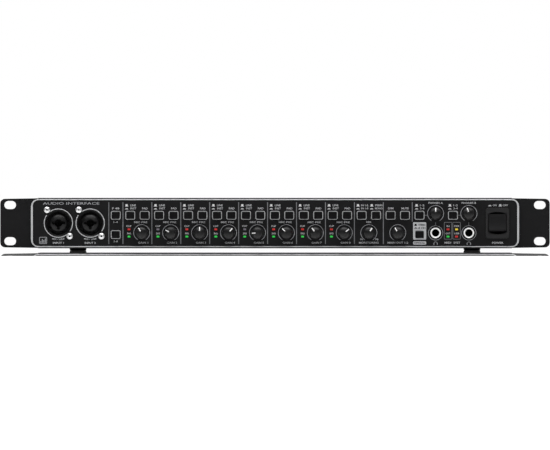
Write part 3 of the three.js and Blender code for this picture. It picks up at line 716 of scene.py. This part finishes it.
lettering += [
    words("IN 1-2", left + 9.0, ROW_OUT, 1.6, 6.2),
    words("IN 1-8", left + 9.0, ROW_IN, 1.6, 6.2),
    words("STEREO", left + 21.4, ROW_OUT, 1.6, 6.6),
    words("MONO", left + 21.4, ROW_IN, 1.6, 6.6),
    words("MIX", left + 12.7, 0.9, 1.6, 4.4),
    words("IN", left + 6.2, -14.3, 1.5, 2.0),
    words("PB", left + 19.8, -14.3, 1.5, 2.6),
    words("MONITORING", left + 12.7, ROW_FOOT, 1.7, 17.2),
]
white_marks += [out_mark(left + across, ROW_OUT) for across in (3.2, 15.2)]
grey_marks += [in_mark(left + across, ROW_IN_MARK) for across in (3.2, 15.2)]
left = STRIP_EDGES[9]
lettering += [
    words("DIM", left + 6.5, ROW_IN, 1.7, 4.6),
    words("MUTE", left + 19.1, ROW_IN, 1.7, 6.2),
    words("MAIN OUT 1-2", left + 12.8, ROW_FOOT, 1.7, 18.0),
]
for letter in "ab":
    x = middle_of(f"phones_{letter}_source_button")[0]
    white_marks.append(out_mark(x - 2.6, ROW_OUT))
    grey_marks.append(in_mark(x - 2.6, ROW_IN_MARK))
    lettering += [
        words("1-2", x + 2.3, ROW_OUT, 1.6, 3.8),
        words("3-4", x + 2.3, ROW_IN, 1.6, 3.8),
        words(f"PHONES {letter.upper()}", knob_centre(f"phones_{letter}_knob")[0], 17.7, 1.7, 12.6),
    ]
lettering += [
    words("IN", MIDI_LIGHTS, -2.7, 1.5, 2.4),
    words("OUT", MIDI_LIGHTS, -9.1, 1.5, 4.2),
    words("PWR", SYSTEM_LIGHTS + 0.1, -2.7, 1.5, 4.4),
    words("USB", SYSTEM_LIGHTS + 0.1, -9.1, 1.5, 4.2),
    words("MIDI", MIDI_LIGHTS - 0.2, ROW_FOOT, 1.7, 5.6),
    words("SYST", SYSTEM_LIGHTS + 0.3, ROW_FOOT, 1.7, 5.8),
    words("ON", 192.8, ROW_OUT, 1.6, 3.4),
    words("OFF", 202.2, ROW_OUT, 1.6, 4.6),
    words("POWER", 195.5, -17.3, 1.7, 9.8),
]
for i, x in enumerate((-190.2, -162.2)):
    lettering += [
        words(f"INPUT {i + 1}", x, -17.4, 1.7, 9.6),
        words("MIC / LINE", x, -14.2, 1.2, 10.8, bow=-1.6),
    ]
grey_marks += [out_mark(197.8, ROW_OUT), in_mark(188.7, 15.4)]
title = words("AUDIO INTERFACE", -179.0, 17.3, 2.2, 49.5, weight=0.0)
dress(title, INK_TITLE)
title.name = "print_title"
# Headphone signs under their sockets, and a small level-meter sign at the lower left.
signs = []
for x in (141.0, 170.2):
    signs.append(arc(x, -17.9, 1.45, 0.35, -90, 90, 16))
    signs += [bar(x - 1.9, x - 1.1, -18.9, -17.5), bar(x + 1.1, x + 1.9, -18.9, -17.5)]
signs += ring_box(-203.6, -15.2, 6.8, 6.0, 0.9, 0.45)
for i, tall in enumerate((1.6, 3.2, 2.4, 3.8)):
    signs.append(bar(-205.9 + 1.3 * i, -205.2 + 1.3 * i, -17.3, -17.3 + tall))
dress(flat_shape("print_signs", signs, -0.035), INK_TITLE)
dress(joined("print_lettering", lettering), INK)
dress(flat_shape("print_out_marks", white_marks, -0.035), INK_WHITE)
dress(flat_shape("print_in_marks", grey_marks, -0.035), INK)
dark = [
    words("STEREO", 129.0, -1.6, 1.6, 6.2, -0.06, weight=0.03),
    words("8 CH", 129.0, -4.3, 1.6, 6.2, -0.06, weight=0.03),
]
dark.append(words("OPTICAL", LABEL_X, TAG_UP, 1.6, 9.6, -0.06, weight=0.02))
dark.append(flat_shape("dark_marks", [out_mark(123.5, -1.6), in_mark(123.5, -4.2)], -0.06))
dress(joined("print_dark_lettering", dark), INK_AND_HOLE_SHADE)
rear_words = [words(f"INPUT {8 - i}", x, -17.6, 1.9, 9.0, rear=True) for i, x in enumerate(REAR_INPUTS)]
for i, x in enumerate(OUTPUT_COLUMNS):
    rear_words.append(words(str(2 * (5 - i) - 1), x + 7.4, 15.6, 1.7, rear=True))
    rear_words.append(words(str(2 * (5 - i)), x + 7.4, -15.6, 1.7, rear=True))
rear_words += [
    words("OUTPUTS", OUTPUT_COLUMNS[2], 18.9, 1.9, 12.0, rear=True),
    words("MIDI IN", MIDI_PORTS[0], -12.6, 1.8, 9.0, rear=True),
    words("MIDI OUT", MIDI_PORTS[1], -12.6, 1.8, 10.5, rear=True),
    words("COAXIAL", COAXIAL, 17.6, 1.7, 9.0, rear=True),
    words("OPTICAL", OPTICAL, 17.6, 1.7, 9.0, rear=True),
    words("IN", (COAXIAL + OPTICAL) / 2, STACK_UP, 1.7, rear=True),
    words("OUT", (COAXIAL + OPTICAL) / 2, -STACK_UP, 1.7, rear=True),
    words("USB 2.0", USB, -10.2, 1.8, 8.5, rear=True),
    words("AC IN", INLET, -15.6, 2.2, 8.5, rear=True),
]
dress(joined("print_rear_lettering", rear_words), INK)

# ---------- Indicator lenses ----------
lens = block("lens_pattern", 0, 0, -0.45, 0.6, 2.4, 1.5, edge=0.3, segments=3)
CLIP_OFF = (1, 4)  # strips whose clip lens is dark
for i in range(8):
    x = STRIP_EDGES[i] + 5.3
    clip = LENS_OFF if i in CLIP_OFF else LENS_RED
    dress(shifted(lens, f"clip_lens_{i + 1}", x, LIGHT_UP), clip)
    dress(shifted(lens, f"signal_lens_{i + 1}", x, LIGHT_DOWN), LENS_GREEN)
for name, x, up, material, slot in (
    ("midi_in", MIDI_LIGHTS, LIGHT_UP, LENS_RED, "led_red"),
    ("midi_out", MIDI_LIGHTS, LIGHT_DOWN, LENS_GREEN, "led_green"),
    ("power", SYSTEM_LIGHTS, LIGHT_UP, LENS_AMBER, "led_amber"),
    ("usb", SYSTEM_LIGHTS, LIGHT_DOWN, LENS_RED, "led_red"),
):
    dress(shifted(lens, name + "_lens", x, up), material)
forget(lens)


# ---------- Combination sockets ----------
JACK_BORE = 3.3  # radius of a quarter inch socket's bore
SOCKET_PROFILE = [
    (0.3, -0.6),
    (3.5, -0.4),
    (5.5, 0.1),
    (7.0, 0.9),
    (7.9, 1.9),
    (8.4, 3.2),
    (8.45, 12.0),
    (10.35, 12.0),
    (10.4, 1.4),
    (10.75, 0.5),
    (11.2, 0.1),
    (11.8, 0.0),
    (12.0, 0.25),
    (12.0, 8.0),
]


def combination_socket():
    """Round socket with a plug slot, a central bore and three contact holes that open into it."""
    face = turned("socket_pattern", SOCKET_PROFILE, 0, 0, sides=72, angle=30)
    bore = turned("bore", [(3.35, -1), (3.3, 24)], 0, 0, sides=40)
    tools = [bore]
    for turn in (-90, 90, 180):
        a = math.radians(turn)
        across, rise = math.sin(a), math.cos(a)
        tools.append(turned("contact", [(1.35, -1), (1.3, 14)], 4.5 * across, 4.5 * rise + 0.2, sides=24))
        width, tall = 2.5 + 1.9 * abs(across), 2.5 + 1.9 * abs(rise)
        tools.append(block("arm", 2.4 * across, 2.4 * rise + 0.2, -1, 6, width, tall, 0.6, 3))
    take_away(face, *tools)
    body = block("body", 0, 0, 7.9, 26, 25, 31, edge=1.0, segments=3)
    bored(body, JACK_BORE, 7, 24)
    made = joined("socket_pattern", [face, body])
    smooth(made, 30)
    return made


def bank_board(name, left, right, depth):
    """Upright circuit board behind a row of rear sockets."""
    made = block(name, (left + right) / 2, 0, 0, 1.6, right - left, 35, edge=0.15, segments=1)
    made.data.transform(Matrix.Translation(Vector((0, REAR - FACE - (depth + 1.6) * MM, 0))))
    return made


socket = combination_socket()
for jack in ("input_jack_1", "input_jack_2"):
    dress(shifted(socket, jack + "_socket", middle_of(jack)[0], 0), SOCKET_NYLON, "unit", [jack])
bank = [moved_copy(socket, "rear_socket", to_rear(x, 0, 0.8)) for x in REAR_INPUTS]
board_left, board_right = REAR_INPUTS[0] - REAR_INPUT_HALF, REAR_INPUTS[-1] + REAR_INPUT_HALF
bank.append(bank_board("rear_input_board", board_left, board_right, 25.6))
dress(joined("rear_input_sockets", bank), SOCKET_NYLON, "unit", ["rear_input_jacks"])
forget(socket)


# ---------- Headphone sockets ----------
def dark_cup(name, radius, mouth, depth):
    """Painted shade: a dark sleeve inside a socket's bore, open at the front, standing for the bore's unlit inside.
    """
    inner = radius - 0.2
    return turned(
        name,
        [(0.3, depth - 0.4), (inner, depth - 0.4), (inner, mouth), (radius, mouth), (radius, depth)],
        0,
        0,
        sides=40,
    )


bushing = turned(
    "bushing_pattern",
    [(0.3, -1.45), (3.45, -1.45), (3.6, -1.6), (4.4, -1.6), (4.55, -1.4), (4.6, -1.0), (4.6, 3.3)],
    0,
    0,
    sides=64,
    angle=50,
)
bored(bushing, JACK_BORE, -3, 9, 48)
jack_body = block("jack_body_pattern", 0, 0, 3.4, 29, 14.4, 14.4, edge=0.6)
bored(jack_body, JACK_BORE, 2, 25, 48)
# Painted shade in each headphone socket's bore: a dark sleeve darkens its inside.
bore_shade = dark_cup("lining_pattern", 3.28, -0.6, 24.5)
for letter in "ab":
    jack = f"phones_jack_{letter}"
    x, up = middle_of(jack)
    dress(shifted(bushing, jack + "_bushing", x, up), SATIN_NICKEL, "unit", [jack])
    dress(shifted(jack_body, jack + "_body", x, up), SOCKET_NYLON)
    dress(shifted(bore_shade, jack + "_lining", x, up), INK_AND_HOLE_SHADE)
forget(bushing, jack_body, bore_shade)

# ---------- Rear outputs ----------
NUT_BORE = 5.55
OUTPUTS = [(x, up) for x in OUTPUT_COLUMNS for up in (OUTPUT_UP, -OUTPUT_UP)]
nose = turned(
    "nose_pattern",
    [(0.3, -3.5), (4.9, -3.5), (5.35, -3.3), (5.6, -2.8), (5.6, 2.0)],
    0,
    0,
    sides=48,
)
bored(nose, JACK_BORE, -5, 9)
nut = turned("nut_pattern", [(4.0, -2.1), (6.2, -2.1), (6.6, -1.7), (6.6, -0.4)], 0, 0, sides=6, angle=20)
bored(nut, NUT_BORE, -5, 9, 48)
washer = turned("washer_pattern", [(4.0, -0.45), (6.7, -0.45), (6.85, -0.3), (6.85, 0.0)], 0, 0, sides=48)
bored(washer, NUT_BORE, -5, 9, 48)
shell = block("shell_pattern", 0, 0, 1.2, 22, 14.6, 16, edge=0.4)
bored(shell, JACK_BORE, 0, 20)
parts = []
for i, (x, up) in enumerate(OUTPUTS):
    parts += [moved_copy(nose, "nose", to_rear(x, up)), moved_copy(shell, "shell", to_rear(x, up))]
    dress(moved_copy(nut, f"output_nut_{i + 1}", to_rear(x, up)), SOCKET_NYLON)
    dress(moved_copy(washer, f"output_washer_{i + 1}", to_rear(x, up)), NICKEL)
board_left, board_right = OUTPUT_COLUMNS[0] - OUTPUT_HALF, OUTPUT_COLUMNS[-1] + OUTPUT_HALF
parts.append(bank_board("rear_output_board", board_left, board_right, 21.6))
dress(joined("rear_output_sockets", parts), SOCKET_NYLON, "unit", ["rear_output_jacks"])
forget(nose, nut, washer, shell)

# ---------- Digital ports ----------
ring = turned("ring_pattern", [(4.0, -0.9), (7.5, -0.9), (7.7, -0.6), (7.7, 0.1)], 0, 0, sides=64)
bored(ring, 6.9, -5, 9, 64)
# Painted shade: a dark disc at each MIDI contact hole stands for the hole's unlit inside.
contact_hole_shade = turned("pin_hole_pattern", [(0.3, -0.68), (0.8, -0.68), (0.9, -0.62), (0.9, 0.2)], 0, 0, sides=20)
CONTACT_CIRCLE = 3.75
for i, x in enumerate(MIDI_PORTS):
    dress(moved_copy(ring, f"midi_ring_{i + 1}", to_rear(x, 0)), NICKEL)
    for k in range(5):
        a = math.radians(-90 + 45 * k)
        place = to_rear(x + CONTACT_CIRCLE * math.sin(a), CONTACT_CIRCLE * math.cos(a) - 1)
        dress(moved_copy(contact_hole_shade, f"midi_contact_{i + 1}_{k + 1}", place), INK_AND_HOLE_SHADE)
sleeve = turned("sleeve_pattern", [(1.0, -3.6), (4.0, -3.6), (4.25, -3.35), (4.25, 0.1)], 0, 0, sides=48)
bored(sleeve, 3.3, -5, -0.5, 48)
insert = turned("insert_pattern", [(0.3, -2.6), (3.0, -2.6), (3.25, -2.4), (3.25, -0.4)], 0, 0, sides=40)
bored(insert, 1.6, -5, 3, 30)
door = block("door_pattern", 0, 0, -0.75, 0.3, 7.6, 7.6, edge=0.35, segments=3)
take_away(door, block("slot", 0, -2.6, -1.4, -0.45, 5.0, 0.6, edge=0.1))
for i, up in enumerate((STACK_UP, -STACK_UP)):
    dress(moved_copy(sleeve, f"coaxial_sleeve_{i + 1}", to_rear(COAXIAL, up)), NICKEL)
    dress(moved_copy(insert, f"coaxial_insert_{i + 1}", to_rear(COAXIAL, up)), INSERT_ORANGE)
    dress(moved_copy(door, f"optical_door_{i + 1}", to_rear(OPTICAL, up)), SWITCH_ABS)
usb = block("usb_shell", 0, 0, -0.75, 2.0, 10.6, 9.8, edge=0.5, segments=3)
take_away(usb, block("hollow", 0, 0, -2, 3, 8.6, 7.9, edge=0.5, segments=3))
dress(moved_copy(usb, "usb_shell_rear", to_rear(USB, 0)), NICKEL)
forget(ring, contact_hole_shade, sleeve, insert, door, usb)

# ---------- Mains inlet ----------
blade = block("blade_pattern", 0, 0, 3.8, 14.9, 2.2, 4.2, edge=0.5, segments=3)
for i, (across, up) in enumerate([(-7, -1), (7, -1), (0, 3)]):
    dress(moved_copy(blade, f"mains_blade_{i + 1}", to_rear(INLET + across, up)), NICKEL)
forget(blade)

# ---------- Feet ----------
foot = turned(
    "foot_pattern",
    [(0.3, 0.9), (2.4, 0.9), (2.6, 0.1), (3.0, 0.0), (6.2, 0.0), (6.45, 0.15), (6.7, 0.8), (6.9, 1.94)],
    0,
    0,
    sides=64,
)
for corner in ("front_left", "front_right", "rear_left", "rear_right"):
    low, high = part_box("foot_" + corner)
    stand = (
        Matrix.Translation(Vector(((low[0] + high[0]) / 2, (low[1] + high[1]) / 2, 0)))
        @ Matrix.Rotation(math.pi / 2, 4, "X")
        @ Matrix.Translation(-front_point(0, 0, 0))
    )
    dress(
        moved_copy(foot, f"foot_{corner}_moulding", stand), FOOT_RUBBER, "unit", ["foot_" + corner]
    )
forget(foot)


# ---------- Screws ----------
def pan_screw(name):
    """A pan head with a six-sided recess."""
    head = turned(
        name,
        [(0.3, -1.05), (1.6, -1.0), (2.4, -0.75), (2.75, -0.3), (2.85, 0.0), (1.4, 0.02), (1.4, 4.0)],
        0,
        0,
        sides=40,
    )
    recess = turned("recess", [(1.15, -1.6), (0.95, -0.3)], 0, 0, sides=6)
    return take_away(head, recess)


SOCKET_SCREW = (10.2, 11.8)  # a rear socket's upper screw from its centre; the lower is opposite
REAR_PANEL_SCREWS = [(-203, 17.5), (-34, 18), (60, 18), (151, 18), (151, -18), (60, -18), (-34, -18)]
screw = pan_screw("screw_pattern")
for i, x in enumerate(REAR_INPUTS):
    for k, sign in enumerate((1, -1)):
        place = to_rear(x + sign * SOCKET_SCREW[0], sign * SOCKET_SCREW[1])
        dress(moved_copy(screw, f"rear_socket_screw_{2 * i + k + 1}", place), SCREW_NICKEL)
for i, across in enumerate((-20, 20)):
    dress(moved_copy(screw, f"inlet_screw_{i + 1}", to_rear(INLET + across, 0, 2.0)), BLACK_SCREW)
for i, (x, up) in enumerate(REAR_PANEL_SCREWS):
    dress(moved_copy(screw, f"rear_panel_screw_{i + 1}", to_rear(x, up)), BLACK_SCREW)

# Case screws: four in each side, and four underneath in line with the feet, where the front feet hide them.
cover_low, cover_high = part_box("top_cover")
foot_x = middle_of("foot_front_right")[0] * MM
side_spots = [(y, MIDDLE + up * MM) for y in (FACE + 16 * MM, REAR - 9 * MM) for up in (-12, 12)]
under_spots = [(x, y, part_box("chassis")[0][2]) for x in (-foot_x, foot_x) for y in (FACE + 60 * MM, REAR - 60 * MM)]
for side, spots, turn, axis in (
    ("left", [(cover_low[0], *spot) for spot in side_spots], -math.pi / 2, "Z"),
    ("right", [(cover_high[0], *spot) for spot in side_spots], math.pi / 2, "Z"),
    ("under", under_spots, math.pi / 2, "X"),
):
    for i, spot in enumerate(spots):
        place = (
            Matrix.Translation(Vector(spot))
            @ Matrix.Rotation(turn, 4, axis)
            @ Matrix.Translation(-front_point(0, 0, 0))
        )
        dress(moved_copy(screw, f"case_screw_{side}_{i + 1}", place), BLACK_SCREW)

# The front sockets' screws, with painted shade: a dark disc in each screw's recess darkens its floor.
recess = turned("recess_pattern", [(0.3, -0.42), (0.85, -0.42), (0.9, -0.36), (0.9, 0.2)], 0, 0, sides=6)
for i, jack in enumerate(("input_jack_1", "input_jack_2")):
    x, up = middle_of(jack)
    for spot, dx, rise in (("upper", -10.0, 11.6), ("lower", 9.9, -11.5)):
        name = f"input_{i + 1}_screw_{spot}"
        dress(shifted(screw, name, x + dx, rise), SCREW_NICKEL)
        dress(shifted(recess, name + "_recess", x + dx, rise), BLACK_SCREW)
forget(recess, screw)


# ---------- Studio ----------
DISTANCE = 18.0  # metres from the camera to the rack ears
FRAME_WIDTH = 0.48295  # what the frame spans at the rack ears
# Where the floor turns from polished to matt, towards the camera, and where its painted light begins: a faint glow on
# the polished board that lightens the unit's reflection in it.
POLISH_END = -0.1835 * DISTANCE
MATT_START = -0.19 * DISTANCE
FLOOR_PAINTED_LIGHT_START = -0.09 * DISTANCE


def studio():
    """White surroundings, brighter above and behind the unit than in front of it."""
    world = bpy.data.worlds.new("studio")
    scene.world = world
    world.use_nodes = True
    tree = world.node_tree
    back = tree.nodes["Background"]
    place = add_node(tree, "ShaderNodeTexCoord")
    split = add_node(tree, "ShaderNodeSeparateXYZ", links=[("Vector", place.outputs["Generated"])])
    depth = add_node(
        tree,
        "ShaderNodeMapRange",
        [("From Min", -0.35), ("From Max", 0.3), ("To Min", 0.02), ("To Max", 1.0)],
        [("Value", split.outputs["Y"])],
    )
    path = add_node(tree, "ShaderNodeLightPath")
    level = add_node(
        tree,
        "ShaderNodeMath",
        links=[(0, depth.outputs["Result"]), (1, path.outputs["Is Camera Ray"])],
        operation="MAXIMUM",
    )
    tree.links.new(level.outputs[0], back.inputs["Strength"])
    back.inputs["Color"].default_value = (1, 1, 1, 1)


def floor():
    """Polished pale board under the unit, and matt floor beyond it, with painted light glowing faintly on the
    polished board to lighten the unit's reflection.
    """
    deselect()
    bpy.ops.mesh.primitive_plane_add(size=60, location=(0, 0, -0.00002))
    plane = bpy.context.object
    plane.name = "floor"
    material = bpy.data.materials.new("floor_white_laminate")
    material.use_nodes = True
    tree = material.node_tree
    shader = tree.nodes["Principled BSDF"]
    shader.inputs["Base Color"].default_value = (0.93, 0.93, 0.93, 1)
    shader.inputs["Emission Color"].default_value = (1, 1, 1, 1)
    place = add_node(tree, "ShaderNodeTexCoord")
    split = add_node(tree, "ShaderNodeSeparateXYZ", links=[("Vector", place.outputs["Object"])])
    gloss = add_node(
        tree,
        "ShaderNodeMapRange",
        [("From Min", MATT_START), ("From Max", POLISH_END), ("To Min", 1.0), ("To Max", 0.0)],
        [("Value", split.outputs["Y"])],
    )
    tree.links.new(gloss.outputs["Result"], shader.inputs["Roughness"])
    # Painted light: the polished board glows faintly, most where it meets the matt floor and fading out towards the
    # unit, to lighten the reflection.
    painted_light = add_node(
        tree,
        "ShaderNodeMapRange",
        [("From Min", POLISH_END), ("From Max", FLOOR_PAINTED_LIGHT_START), ("To Min", 0.17), ("To Max", 0.0)],
        [("Value", split.outputs["Y"])],
    )
    light = add_node(
        tree, "ShaderNodeMath", links=[(0, gloss.outputs["Result"]), (1, painted_light.outputs["Result"])], operation="MAXIMUM"
    )
    tree.links.new(light.outputs[0], shader.inputs["Emission Strength"])
    plane.data.materials.append(material)


def area_light(name, place, aim, wide, tall, watts):
    data = bpy.data.lights.new(name, "AREA")
    data.shape = "RECTANGLE"
    data.size = wide
    data.size_y = tall
    data.energy = watts
    lamp = bpy.data.objects.new(name, data)
    lamp.location = place
    lamp.rotation_euler = (Vector(aim) - Vector(place)).to_track_quat("-Z", "Y").to_euler()
    scene.collection.objects.link(lamp)


studio()
floor()
area_light("overhead_softbox", (0, -0.5, 1.6), (0, -0.05, 0.0), 2.4, 1.2, 45)
area_light("front_fill", (0, -2.4, 1.8), (0, 0, 0.02), 2.0, 1.0, 18)

# The lens is long, so the front is seen almost without perspective.
camera_data = bpy.data.cameras.new("camera")
camera = bpy.data.objects.new("camera", camera_data)
scene.collection.objects.link(camera)
camera_data.sensor_width = 36
camera_data.lens = 36 * DISTANCE / FRAME_WIDTH
camera_data.clip_start = 0.1
camera_data.clip_end = 60
camera.location = (0, EARS_FRONT - DISTANCE, MIDDLE - 1.67 * MM)
camera.rotation_euler = (math.pi / 2, 0, 0)
scene.camera = camera
scene.view_settings.view_transform = "Standard"
scene.view_settings.look = "None"
